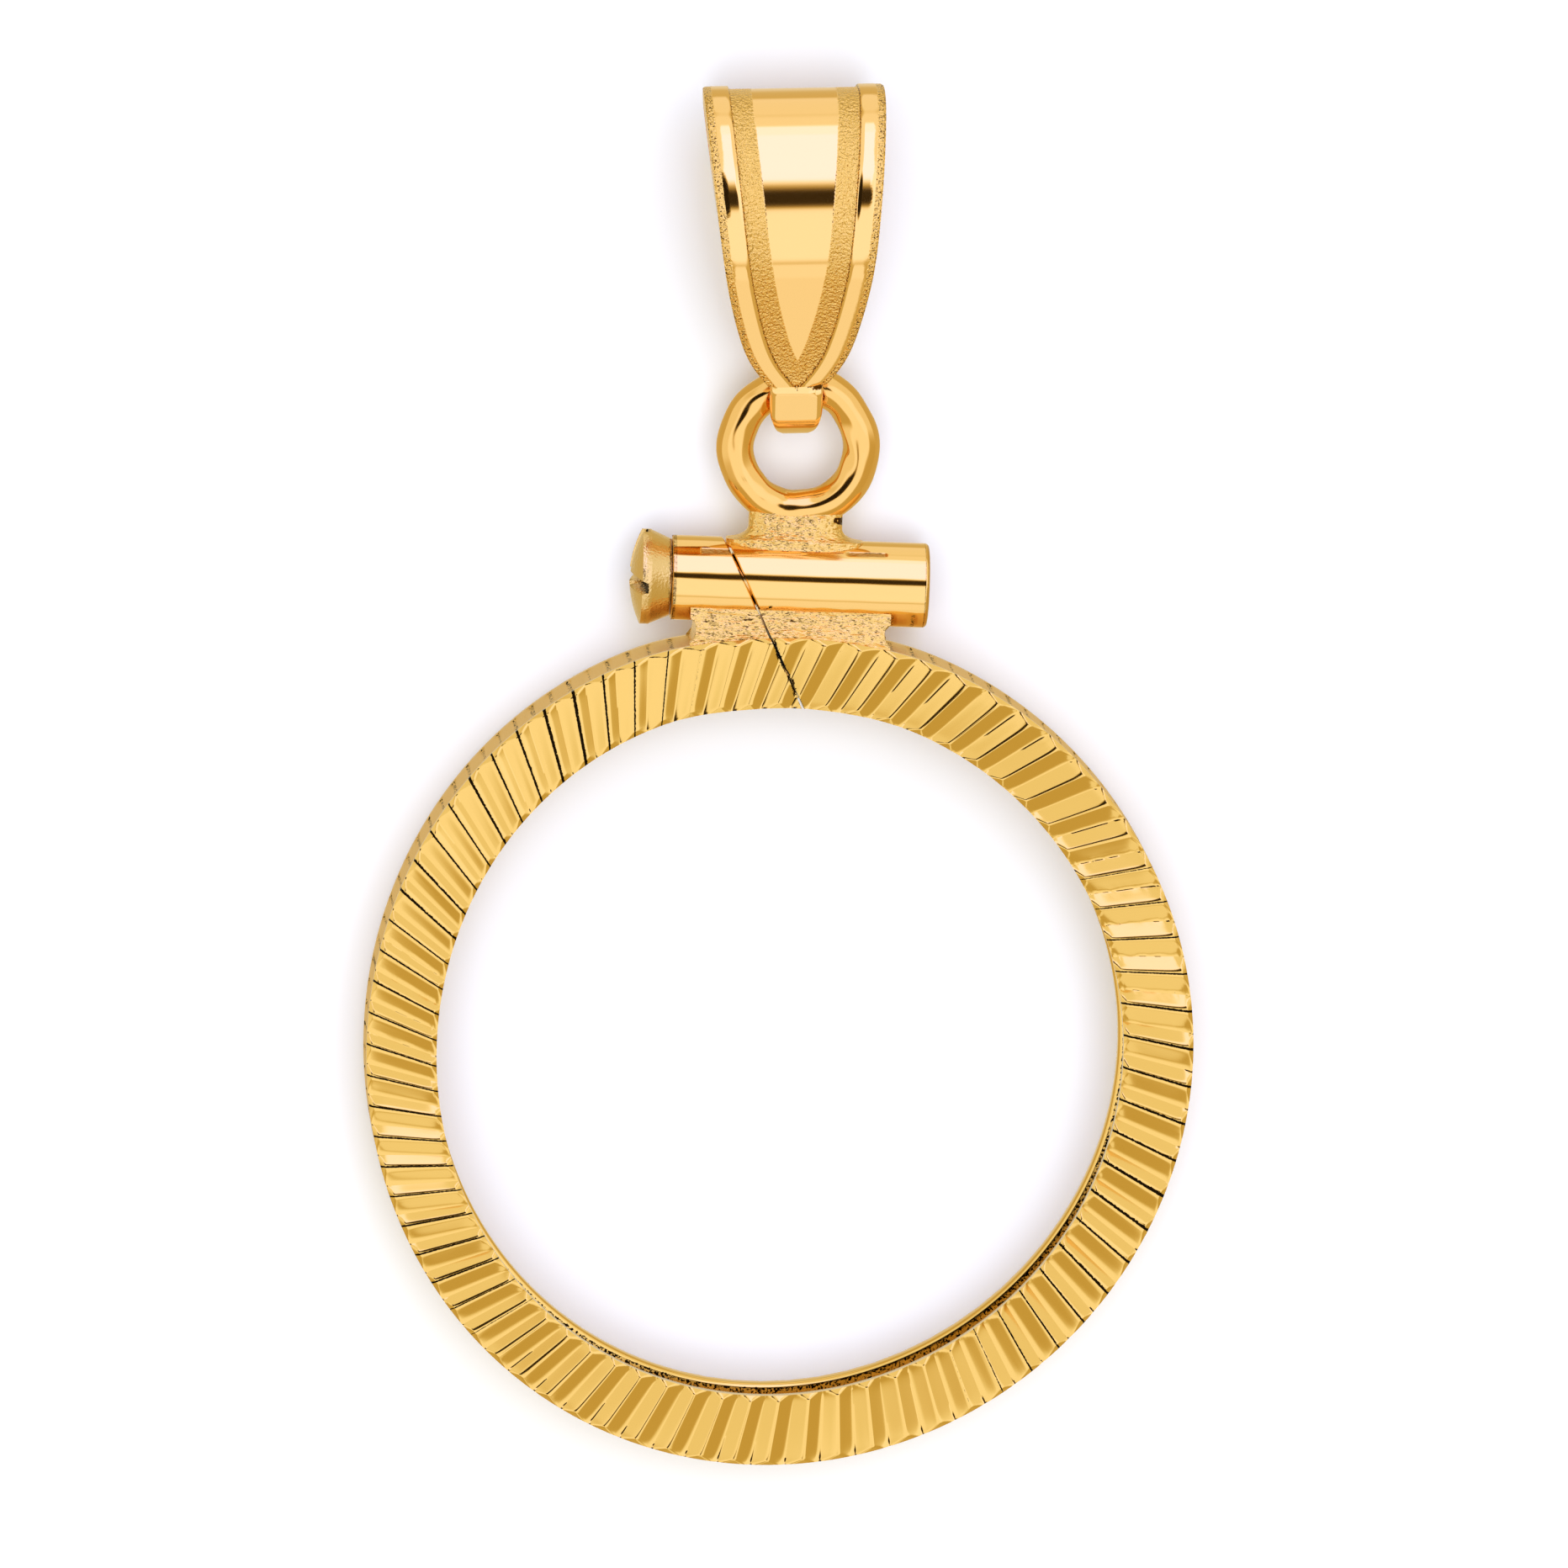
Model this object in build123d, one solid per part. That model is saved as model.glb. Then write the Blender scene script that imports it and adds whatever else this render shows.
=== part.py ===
from build123d import *
import math
import os

# A coin bezel lying face up, in millimetres. The origin is the centre of the coin's seat,
# +Z points out of the front face and +Y towards the bail.

# The coin that the seat takes
coin_diameter = 16.5
coin_thickness = 1.25
seat_play = 0.05  # gap round the coin's edge, and over each of its faces

# The band: a channel bent into a ring, with a lip over each face of the coin
lip_reach = 0.73  # how far each lip stands in over the coin
lip_thickness = 0.475
rim_wall = 0.81  # wall outside the coin's edge
outer_bevel = 0.08
inner_bevel = 0.10

# Flutes across both faces of the band. Clock angles run clockwise from the top, seen from the front.
flute_depth = 0.17
flute_overrun = 0.30  # how far a cut runs out past each edge of the face
flute_start = 2.4  # clock angle of the first ridge, at the cut
flute_run_degrees = (176.3, 88.5, 95.2)  # the pattern was cut in three runs of slightly different pitch
flute_run_counts = (34, 20, 21)
flute_slants = (  # clock angle, degrees that the flutes lean clockwise of radial
    (0, 22.5),
    (12, 22),
    (27, 20.9),
    (57, 19),
    (72, 14.6),
    (87, 13.2),
    (102, 11.4),
    (132, 9.3),
    (162, 7.8),
    (192, 10.7),
    (222, 12.7),
    (252, 16.9),
    (282, 20.5),
    (300, 21.6),
    (327, 21.3),
    (345, 22.6),
    (360, 22.5),
)

# The slanted saw cut that parts the band and the barrels
cut_gap = 0.08
cut_lean = 26.2  # degrees from the radial, its top leaning to the left
cut_at_lip = 0.14  # how far right of the middle it leaves the lips

# The barrels, one tube cut in two
barrel_radius = 0.93
barrel_gap = 0.21  # between the band and the barrels, filled by the saddle
barrel_left = 2.78
barrel_right = 2.88
barrel_bevel = 0.10
saddle_left = 2.34
saddle_right = 2.06
saddle_play = 0.19  # how far the saddle stays back from the band's faces
saddle_climb = 45.0  # degrees round the barrels that its sides climb, up from their underside
saddle_root = 0.57  # how deep it is let into the band's outer wall
saddle_notch = 0.13  # radius of the hollow that the solder leaves at each of its ends

# The screw
shank_radius = 0.56
shank_play = 0.04  # round the shank in the barrels
shank_short = 0.30  # how far the point stops short of the barrels' right end
thread_pitch = 0.25
thread_depth = 0.10
thread_length = 2.8
head_radius = 1.045
head_foot_radius = 0.85
head_cone = 0.41
head_rim = 0.22
head_dome = 0.25
head_dome_swell = 0.05  # how far the dome stands out beyond a plain cone, half way up
head_seat_gap = 0.02
slot_width = 0.26
slot_depth = 0.36
slot_turn = 8.0  # degrees that the cross is turned from upright

# The hanger ring, soldered to the right barrel
hanger_wire = 0.81
hanger_bore = 1.95
hanger_shift = -0.08  # along the barrels, from the middle
hanger_stand = 0.265  # between the barrel and the ring, filled by its solder
hanger_clear = 0.03  # how far the solder stays back from the hole
hanger_wear = 0.14  # how far the hole is drawn out towards the solder
hanger_worn_bore = 1.66  # across the end of the hole that is drawn out
neck_half = 1.03
neck_root = 0.20  # how deep its foot is let into the barrel
neck_flare = 0.48  # how far its foot spreads along the barrel on each side
neck_rise = 0.28  # how high up the neck the flare starts
neck_bend = 0.38  # radius of the flare's hollow curve
neck_thickness = 0.86

# The bail: a strip folded over, whose legs close in to a tongue that holds the ring's wire
bail_thickness = 0.36
bail_length = 4.54  # from the ring's wire to the middle of the fold
bail_fold_radius = 2.30
bail_half_width = 1.98
bail_shift = -0.15  # of the tongue's middle from the ring's, along the barrels
bail_lean = 3.0  # degrees that it leans to the left of the bezel's upright
tongue_width = 1.15
tongue_end_width = 0.60  # at the bottom of its loop
tongue_shoulder = 0.55  # how far below the wire's middle its sides start to close in
tongue_play = 0.28  # round the ring's wire
tongue_drop = 0.05  # how far the tongue hangs below the wire's middle
rail_width = 0.55
recess_foot = 0.29  # width of the recess between the rails where it ends at the seam
rail_height = 0.07
seam_width = 0.05
seam_depth = 0.14
seam_at = 0.32  # above the wire's middle
bail_taper = (  # share of the way from the top to the tongue, share of the half width there
    (0.000, 1.000),
    (0.305, 0.899),
    (0.611, 0.768),
    (0.763, 0.662),
    (0.916, 0.477),
)

through = 10.0  # reach of a cut that goes right through what it cuts

# What follows from the sizes above
seat_radius = coin_diameter / 2 + seat_play
seat_half = coin_thickness / 2 + seat_play
lip_radius = seat_radius - lip_reach
band_radius = seat_radius + rim_wall
band_half = seat_half + lip_thickness
barrel_y = band_radius + barrel_gap + barrel_radius
barrel_bore = shank_radius + shank_play
wire_radius = hanger_wire / 2
hanger_radius = hanger_bore / 2 + wire_radius
hanger_y = barrel_y + barrel_radius + hanger_stand + hanger_radius + wire_radius
hinge_y = hanger_y + hanger_radius
tongue_radius = wire_radius + tongue_play + bail_thickness


def clock_point(clock, radius, z=0.0):
    """The point at a clock angle and radius, clockwise from the top."""
    turn = math.radians(clock)
    return Vector(radius * math.sin(turn), radius * math.cos(turn), z)


def slant_at(clock):
    """The flutes' lean at a clock angle, along straight lines between the table's rows."""
    for (start, lean), (end, next_lean) in zip(flute_slants, flute_slants[1:]):
        if start <= clock % 360 <= end:
            share = (clock % 360 - start) / (end - start)
            return lean + share * (next_lean - lean)


def flute_cutters(face):
    """One cylinder for each flute on the front (face 1) or the back (face -1)."""
    middle_radius = (lip_radius + band_radius) / 2
    reach = (band_radius - lip_radius) / 2 + flute_overrun
    cutters = []
    ridge = flute_start
    for arc, count in zip(flute_run_degrees, flute_run_counts):
        pitch = arc / count
        half_pitch = band_radius * math.radians(pitch) / 2
        for step in range(count):
            clock = ridge + (step + 0.5) * pitch
            slant = slant_at(clock)
            half_width = half_pitch * math.cos(math.radians(slant))
            radius = half_width ** 2 / (2 * flute_depth) + flute_depth / 2
            along = clock_point(clock + slant, 1)
            half = reach / math.cos(math.radians(slant))
            height = face * (band_half - flute_depth + radius)
            foot = clock_point(clock, middle_radius, height) - along * half
            cutters.append(Solid.make_cylinder(radius, 2 * half, Plane(origin=foot, z_dir=along)))
        ridge += arc
    return cutters


def make_band():
    """The ring of channel, with both faces fluted."""
    section = make_face(
        Polyline(
            (lip_radius, seat_half),
            (lip_radius, band_half - inner_bevel),
            (lip_radius + inner_bevel, band_half),
            (band_radius - outer_bevel, band_half),
            (band_radius, band_half - outer_bevel),
            (band_radius, outer_bevel - band_half),
            (band_radius - outer_bevel, -band_half),
            (lip_radius + inner_bevel, -band_half),
            (lip_radius, inner_bevel - band_half),
            (lip_radius, -seat_half),
            (seat_radius, -seat_half),
            (seat_radius, seat_half),
            close=True,
        )
    )
    band = revolve(Plane.XZ * section, Axis.Z)
    # Neighbouring flutes meet at their ridges, so every other one is cut first.
    cutters = flute_cutters(1) + flute_cutters(-1)
    for turn in range(2):
        band -= cutters[turn::2]
    return band


def rod(radius, start, end, bevel=0.0):
    """A round bar on the barrels' axis, from one x to another."""
    bar = Solid.make_cylinder(radius, end - start, Plane(origin=(start, barrel_y, 0), z_dir=(1, 0, 0)))
    if bevel:
        bar = chamfer(bar.edges().filter_by(GeomType.CIRCLE), bevel)
    return bar


def make_saddle():
    """The solder that fills the space between the band and the barrels."""
    foot = band_half - saddle_play
    climb = math.radians(saddle_climb)
    waist = barrel_radius * math.sin(climb)
    waist_y = barrel_y - barrel_radius * math.cos(climb)
    low = band_radius - saddle_root
    section = make_face(
        Polyline((low, -foot), (low, foot), (band_radius, foot), (waist_y, waist), (barrel_y, 0),
                 (waist_y, -waist), (band_radius, -foot), close=True)
    )
    plane = Plane(origin=(-saddle_left, 0, 0), x_dir=(0, 1, 0), z_dir=(1, 0, 0))
    saddle = extrude(plane * section, saddle_left + saddle_right)
    notch_y = barrel_y - barrel_radius
    for x in (-saddle_left, saddle_right):
        saddle -= Pos(x, notch_y, 0) * Cylinder(saddle_notch, through)
    return saddle


def make_neck():
    """The solder under the hanger ring, whose foot spreads along the barrel in two hollow curves."""
    top = hanger_y - hanger_radius
    rise = barrel_y + barrel_radius
    foot = rise - neck_root
    spread = neck_half + neck_flare
    waist = rise + neck_rise
    outline = Polyline((-neck_half, waist), (-neck_half, top), (neck_half, top), (neck_half, waist))
    right = RadiusArc((neck_half, waist), (spread, rise), -neck_bend)
    base = Polyline((spread, rise), (spread, foot), (-spread, foot), (-spread, rise))
    left = RadiusArc((-spread, rise), (-neck_half, waist), -neck_bend)
    neck = extrude(make_face([outline, right, base, left]), neck_thickness / 2, both=True)
    return Pos(hanger_shift, 0, 0) * neck


def make_frame():
    """Band, barrels, saddle and hanger ring, soldered into one piece and then sawn through."""
    hanger = Pos(hanger_shift, hanger_y, 0)
    top = make_saddle() + rod(barrel_radius, -barrel_left, barrel_right, barrel_bevel) + make_neck()
    top -= hanger * Cylinder(hanger_bore / 2 + hanger_clear, through)
    top += hanger * Torus(hanger_radius, wire_radius)
    worn_middle = (hanger_worn_bore - hanger_bore) / 2 - hanger_wear
    top -= hanger * Pos(0, worn_middle, 0) * Cylinder(hanger_worn_bore / 2, through)
    bore = rod(barrel_bore, -barrel_left - cut_gap, barrel_right + cut_gap)
    # The saw cut ends above the barrels, to the left of the ring's neck.
    cut_top = barrel_y + barrel_radius + hanger_stand
    middle_y = (lip_radius + cut_top) / 2
    middle_x = cut_at_lip - (middle_y - lip_radius) * math.tan(math.radians(cut_lean))
    length = (cut_top - lip_radius) / math.cos(math.radians(cut_lean)) + hanger_stand
    kerf = Pos(middle_x, middle_y, 0) * Rot(0, 0, cut_lean) * Box(cut_gap, length, through)
    return make_band() + top - [bore, kerf]


def make_screw():
    """A domed head with a cross slot on a cone, and a shank with a thread on its end."""
    seat = -barrel_left - head_seat_gap
    rim = seat - head_cone
    face = rim - head_rim
    tip = barrel_right - shank_short
    profile = [(seat, shank_radius), (seat, head_foot_radius), (rim, head_radius), (face, head_radius)]
    shank = [(tip - thread_length, shank_radius)]
    for turn in range(int(thread_length / thread_pitch)):
        start = tip - thread_length + turn * thread_pitch
        shank.append((start + thread_pitch / 2, shank_radius - thread_depth))
        shank.append((start + thread_pitch, shank_radius))
    shank += [(tip, shank_radius - thread_depth), (tip, 0)]
    dome = ThreePointArc(
        (face, head_radius), (face - head_dome / 2 - head_dome_swell, head_radius / 2), (face - head_dome, 0)
    )
    lines = [Polyline(*profile), dome, Line((face - head_dome, 0), (tip, 0)),
             Polyline(*(shank[::-1] + [(seat, shank_radius)]))]
    screw = revolve(make_face(lines), Axis.X)
    screw = Pos(0, barrel_y, 0) * screw
    for turn in (slot_turn, slot_turn + 90):
        slot = Box(2 * slot_depth, slot_width, through)
        screw -= Pos(face - head_dome, barrel_y, 0) * Rot(turn, 0, 0) * slot
    return screw


def teardrop(inset):
    """The bail's side outline, drawn in by an inset: two circles and the legs that run round both."""
    drop = bail_length + tongue_drop
    big = bail_fold_radius - inset
    small = tongue_radius - inset
    lean = math.asin((big - small) / drop)
    high, low = Vector(bail_length, 0), Vector(-tongue_drop, 0)
    out = Vector(-math.sin(lean), math.cos(lean))
    back = Vector(-math.sin(lean), -math.cos(lean))
    fold = ThreePointArc(high + out * big, high + Vector(big, 0), high + back * big)
    tongue = ThreePointArc(low + back * small, low + Vector(-small, 0), low + out * small)
    legs = [Line(fold @ 1, tongue @ 0), Line(tongue @ 1, fold @ 0)]
    return make_face([fold, legs[0], tongue, legs[1]])


def strip(outer, inner, width):
    """A loop of metal between two insets of the side outline, as wide as is asked."""
    side = teardrop(outer) - teardrop(inner)
    plane = Plane(origin=(0, 0, 0), x_dir=(0, 1, 0), z_dir=(1, 0, 0))
    return extrude(plane * side, width / 2, both=True)


def taper(inset, foot):
    """The bail's outline seen from the front, drawn in by an inset, down to a foot half width."""
    top = bail_length + bail_fold_radius
    tongue_y = seam_at
    rows = [(bail_half_width * wide - inset, top - (top - tongue_y) * down) for down, wide in bail_taper]
    right = [(x, y) for x, y in rows if x > foot] + [(foot, tongue_y)]
    left = [(-x, y) for x, y in right[::-1]]
    roof = top + through
    lines = [
        Line((left[-1][0], roof), (right[0][0], roof)),
        Line((right[0][0], roof), right[0]),
        Spline(*right),
        Line(left[-1], (left[-1][0], roof)),
        Spline(*left),
        Line(right[-1], left[0]),
    ]
    return make_face(lines)


def make_bail():
    """The folded strip, its recess between the rails, and the seam where the tongue closes."""
    plate = extrude(taper(0, tongue_width / 2), through, both=True)
    half, end_half = tongue_width / 2, tongue_end_width / 2
    shoulder, end = -tongue_shoulder, -tongue_radius - tongue_drop
    sides = Polyline((-half, seam_at), (-half, shoulder), (-end_half, end), (end_half, end), (half, shoulder),
                     (half, seam_at), close=True)
    tongue = extrude(make_face(sides), through, both=True)
    bail = strip(0, bail_thickness, 2 * bail_half_width) & (plate + tongue)
    recess = extrude(taper(rail_width, recess_foot / 2), through, both=True)
    bail -= strip(-rail_height, rail_height, 2 * bail_half_width) & recess
    seam_z = tongue_radius + (seam_at + tongue_drop) * (bail_fold_radius - tongue_radius) / bail_length
    bail -= Pos(0, seam_at, seam_z) * Box(2 * tongue_width, seam_width, 2 * seam_depth)
    # It lies back on its fold, which touches what the band lies on.
    rest = math.degrees(math.asin((bail_fold_radius - band_half) / bail_length))
    return Pos(hanger_shift + bail_shift, hinge_y, 0) * Rot(0, 0, bail_lean) * Rot(rest, 0, 0) * bail


parts = {"bezel_frame": make_frame(), "screw": make_screw(), "bail": make_bail()}

os.makedirs("parts", exist_ok=True)
for name, part in parts.items():
    export_step(part, f"parts/{name}.step")
    box = part.bounding_box()
    print(name, "solids", len(part.solids()), "volume", round(part.volume, 3), "mm3",
          "z", round(box.min.Z, 3), "to", round(box.max.Z, 3))
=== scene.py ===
import math

import bmesh
import bpy
import numpy as np
from mathutils import Matrix, Vector


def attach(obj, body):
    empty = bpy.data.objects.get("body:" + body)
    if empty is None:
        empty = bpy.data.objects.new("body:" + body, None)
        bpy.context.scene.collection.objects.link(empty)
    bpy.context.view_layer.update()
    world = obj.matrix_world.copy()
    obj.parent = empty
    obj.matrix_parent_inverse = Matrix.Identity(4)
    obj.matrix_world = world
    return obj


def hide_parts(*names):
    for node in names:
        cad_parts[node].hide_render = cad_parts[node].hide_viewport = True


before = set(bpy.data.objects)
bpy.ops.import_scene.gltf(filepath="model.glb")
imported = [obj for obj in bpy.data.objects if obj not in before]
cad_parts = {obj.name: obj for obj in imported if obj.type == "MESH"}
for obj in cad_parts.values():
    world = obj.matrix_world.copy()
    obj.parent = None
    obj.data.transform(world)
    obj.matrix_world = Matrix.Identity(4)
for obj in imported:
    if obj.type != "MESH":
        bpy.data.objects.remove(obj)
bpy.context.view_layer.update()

mm = 0.001
bpy.context.scene.view_settings.view_transform = "Standard"


cameraSettings = {
    "upTilt": 7.4,  # degrees that it stands towards the bail from straight above
    "leftTilt": 3.2,  # degrees that it stands to the left
    "turn": 2.3,  # degrees that the piece lies turned clockwise in the picture
    "pixelsPerMm": 54.0,
    "originPixel": (925.0, 1240.0),  # where the middle of the coin's seat shows
    "imagePixels": 1864.0,
    "distance": 500.0,  # mm
    "clip": (0.01, 5.0),  # m
}


def placeCamera(s):
    # The camera looks back along the tilted direction (-tan left, tan up, 1). Its up is +Y less what of
    # it lies along that direction, both turned by the piece's turn. Its aim is moved sideways so that the
    # seat's middle lands on its pixel, and its lens is distance times pixels per mm over the image's
    # width.
    left, up, turn = (math.radians(s[key]) for key in ("leftTilt", "upTilt", "turn"))
    back = Vector((-math.tan(left), math.tan(up), 1)).normalized()
    straightUp = (Vector((0, 1, 0)) - back.y * back).normalized()
    right = straightUp.cross(back)
    imageRight = right * math.cos(turn) + straightUp * math.sin(turn)
    imageUp = straightUp * math.cos(turn) - right * math.sin(turn)
    half = s["imagePixels"] / 2
    seatX, seatY = s["originPixel"]
    aim = (imageRight * (half - seatX) + imageUp * (seatY - half)) / s["pixelsPerMm"]
    data = bpy.data.cameras.new("camera")
    data.lens = data.sensor_width * s["distance"] * s["pixelsPerMm"] / s["imagePixels"]
    data.clip_start, data.clip_end = s["clip"]
    camera = bpy.data.objects.new("camera", data)
    bpy.context.collection.objects.link(camera)
    turned = Matrix((imageRight, imageUp, back)).transposed().to_4x4()
    camera.matrix_world = Matrix.Translation((aim + back * s["distance"]) * mm) @ turned
    bpy.context.scene.camera = camera


placeCamera(cameraSettings)
print("camera placed")


def linear(code):
    # sRGB hex to linear light: a straight line below 0.04045, a power of 2.4 above it
    values = [int(code[i:i + 2], 16) / 255 for i in (1, 3, 5)]
    return tuple(v / 12.92 if v <= 0.04045 else ((v + 0.055) / 1.055) ** 2.4 for v in values) + (1.0,)


def addNode(tree, kind, inputs=None, **settings):
    # One node. The settings are its own properties; inputs gives a socket, by name or number, its value or
    # the output that feeds it.
    node = tree.nodes.new(kind)
    for key, value in settings.items():
        setattr(node, key, value)
    for socket, value in (inputs or {}).items():
        if isinstance(value, bpy.types.NodeSocket):
            tree.links.new(value, node.inputs[socket])
        else:
            node.inputs[socket].default_value = value
    return node


goldBase = {
    "residueAndShade": "#2A1B08", "speck": 0.05,  # dark colour for polishing residue and for painted shade, width of its specks in mm
    "stretch": (1.0, 1.0, 1.0),  # below 1 draws the grain out along that axis
    "grainDetail": 2.0, "speckDetail": 1.0,
    "bumpHeight": 2.0,  # of the grain at full strength, in grain widths
    "residueAndShadeFrom": 1.0, "residueAndShadeFull": 1.08,  # where the dark colour of residue and painted shade starts and is full, see makeGold
}

# grain and speck are widths in mm
goldSettings = {
    # yellow gold, diamond-cut: flat bright flanks; its grained part is the rough-turned outer wall; its
    # dark colour is painted shade and a painted dark reflection
    "diamondCutGold": {"polished": "#F1C66B", "grained": "#F5CF88", "residueAndShade": "#1A1004",
                       "polishedRoughness": 0.12, "grainedRoughness": 0.5, "grain": 0.05, "relief": 0.25},
    # drawn tube, buffed: long clean reflections along the barrels
    "drawnTubeGold": {"polished": "#FBCD7C", "grained": "#C89648", "polishedRoughness": 0.07,
                      "grainedRoughness": 0.3, "grain": 0.06, "relief": 0.3, "stretch": (0.3, 1.0, 1.0)},
    # gold solder left as it ran and lightly brushed along the barrels: a crinkled glitter; its dark colour
    # is real specks, and painted shade in the neck's pit
    "solderGold": {"polished": "#F6CB78", "grained": "#F6CB78", "residueAndShade": "#4A2A08", "speck": 0.06,
                   "polishedRoughness": 0.25, "grainedRoughness": 0.25, "grain": 0.09, "relief": 0.45,
                   "stretch": (0.35, 1.0, 1.0)},
    # round wire, tumbled: soft bands of light round the ring
    "tumbledWireGold": {"polished": "#F6C470", "grained": "#E9BC70", "speck": 0.06,
                        "polishedRoughness": 0.10, "grainedRoughness": 0.35, "grain": 0.07, "relief": 0.4},
    # stamped strip, mirror polished, with a sandblasted band that glitters; its real grit of about 0.03
    # mm is drawn twice as coarse so that it shows; its dark colour is real specks and painted shade
    "blastedStripGold": {"polished": "#FFD184", "grained": "#FFD27A", "residueAndShade": "#5A360A", "speck": 0.035,
                         "polishedRoughness": 0.08, "grainedRoughness": 0.2, "grain": 0.06, "relief": 0.7},
    # turned on a lathe: satin, with the tool's fine marks; its dark colour is painted shade in the slot
    "turnedGold": {"polished": "#F2CD88", "grained": "#DDB872", "residueAndShade": "#1C1006",
                   "polishedRoughness": 0.16, "grainedRoughness": 0.35, "grain": 0.06, "relief": 0.6},
}


def makeGold(name, s):
    # Yellow gold that mirrors the tent where it is polished. Colour and roughness go from polished to
    # grained by the piece's "worked" mark, and so does the strength of the grain's bump. Where the speck
    # noise and the piece's soil and shade mark together pass their threshold, the colour goes over to the
    # dark colour, which is real residue in some places and painted shade and painted dark reflection in
    # others.
    material = bpy.data.materials.new(name)
    material.use_nodes = True
    tree = material.node_tree
    shader = tree.nodes["Principled BSDF"]
    shader.inputs["Metallic"].default_value = 1.0
    place = addNode(tree, "ShaderNodeTexCoord").outputs["Object"]
    worked = addNode(tree, "ShaderNodeAttribute", attribute_name="worked").outputs["Fac"]
    soilAndShade = addNode(tree, "ShaderNodeAttribute", attribute_name="soilAndShade").outputs["Fac"]
    drawn = addNode(tree, "ShaderNodeMapping", {"Vector": place, "Scale": s["stretch"]}).outputs["Vector"]
    grain = addNode(tree, "ShaderNodeTexNoise", {"Vector": drawn, "Scale": 1 / (s["grain"] * mm),
                                                 "Detail": s["grainDetail"]})
    specks = addNode(tree, "ShaderNodeTexNoise", {"Vector": drawn, "Scale": 1 / (s["speck"] * mm),
                                                  "Detail": s["speckDetail"]})
    reach = addNode(tree, "ShaderNodeMath", {0: specks.outputs["Fac"], 1: soilAndShade}, operation="ADD")
    dark = addNode(tree, "ShaderNodeMapRange", {"Value": reach.outputs[0], "From Min": s["residueAndShadeFrom"],
                                                "From Max": s["residueAndShadeFull"]})
    finish = addNode(tree, "ShaderNodeMix", {0: worked, 6: linear(s["polished"]), 7: linear(s["grained"])},
                     data_type="RGBA")
    color = addNode(tree, "ShaderNodeMix", {0: dark.outputs["Result"], 6: finish.outputs[2],
                                            7: linear(s["residueAndShade"])}, data_type="RGBA")
    rough = addNode(tree, "ShaderNodeMapRange", {"Value": worked, "To Min": s["polishedRoughness"],
                                                 "To Max": s["grainedRoughness"]})
    strength = addNode(tree, "ShaderNodeMath", {0: worked, 1: s["relief"]}, operation="MULTIPLY")
    bump = addNode(tree, "ShaderNodeBump", {"Strength": strength.outputs[0],
                                            "Distance": s["bumpHeight"] * s["grain"] * mm,
                                            "Height": grain.outputs["Fac"]})
    tree.links.new(color.outputs[2], shader.inputs["Base Color"])
    tree.links.new(rough.outputs["Result"], shader.inputs["Roughness"])
    tree.links.new(bump.outputs["Normal"], shader.inputs["Normal"])
    return material


golds = {name: makeGold(name, {**goldBase, **settings}) for name, settings in goldSettings.items()}
print("golds made")


def gridFaces(rows, columns, closed):
    # Quads of a grid of points, each between a point, the one below, the one below to the right and the one
    # to the right. Every row is closed to a ring; the last row meets the first where the grid is closed.
    index = np.arange(rows * columns).reshape(rows, columns)
    if closed:
        index = np.vstack([index, index[:1]])
    index = np.hstack([index, index[:, :1]])
    corners = (index[:-1, :-1], index[1:, :-1], index[1:, 1:], index[:-1, 1:])
    return np.stack([c.ravel() for c in corners], axis=1).tolist()


def fullTurn(count):
    # even angles, 2 pi k / count
    return np.linspace(0, 2 * math.pi, count, endpoint=False)


def smoothStep(low, high, x):
    # 0 below low, 1 above high, with the curve 3t^2 - 2t^3 between
    t = np.clip((x - low) / (high - low), 0, 1)
    return t * t * (3 - 2 * t)


def makePiece(name, gold, points, marks, closed=False, firstOpen=False, sharpAngle=35.0, weld=2e-7):
    # A grid of points in mm whose last row meets its first, or else flat faces close both rows; the first
    # stays open where it is a single point. Marks are numbers from 0 to 1 at each point for the gold to
    # read. Points nearer than weld (in m) become one, normals are turned outwards, and edges sharper than
    # sharpAngle degrees stay sharp.
    rows, columns = points.shape[:2]
    faces = gridFaces(rows, columns, closed)
    if not closed:
        firstRow = np.arange(columns)
        lastRow = firstRow + (rows - 1) * columns
        faces += [lastRow.tolist()] if firstOpen else [firstRow.tolist(), lastRow[::-1].tolist()]
    mesh = bpy.data.meshes.new(name)
    mesh.from_pydata((points.reshape(-1, 3) * mm).tolist(), [], faces)
    for label, values in marks.items():
        mark = mesh.attributes.new(label, "FLOAT", "POINT")
        mark.data.foreach_set("value", np.ravel(values).astype(np.float32))
    work = bmesh.new()
    work.from_mesh(mesh)
    bmesh.ops.remove_doubles(work, verts=work.verts, dist=weld)
    bmesh.ops.dissolve_degenerate(work, edges=work.edges, dist=weld)
    bmesh.ops.recalc_face_normals(work, faces=work.faces)
    if work.calc_volume(signed=True) < 0:
        bmesh.ops.reverse_faces(work, faces=work.faces)
    openEdges = sum(1 for e in work.edges if len(e.link_faces) != 2)
    work.to_mesh(mesh)
    work.free()
    mesh.polygons.foreach_set("use_smooth", np.ones(len(mesh.polygons), dtype=bool))
    mesh.set_sharp_from_angle(angle=math.radians(sharpAngle))
    mesh.materials.append(golds[gold])
    piece = bpy.data.objects.new(name, mesh)
    bpy.context.collection.objects.link(piece)
    print(name, len(mesh.vertices), "points", len(mesh.polygons), "faces", openEdges, "open edges")
    return piece


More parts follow.
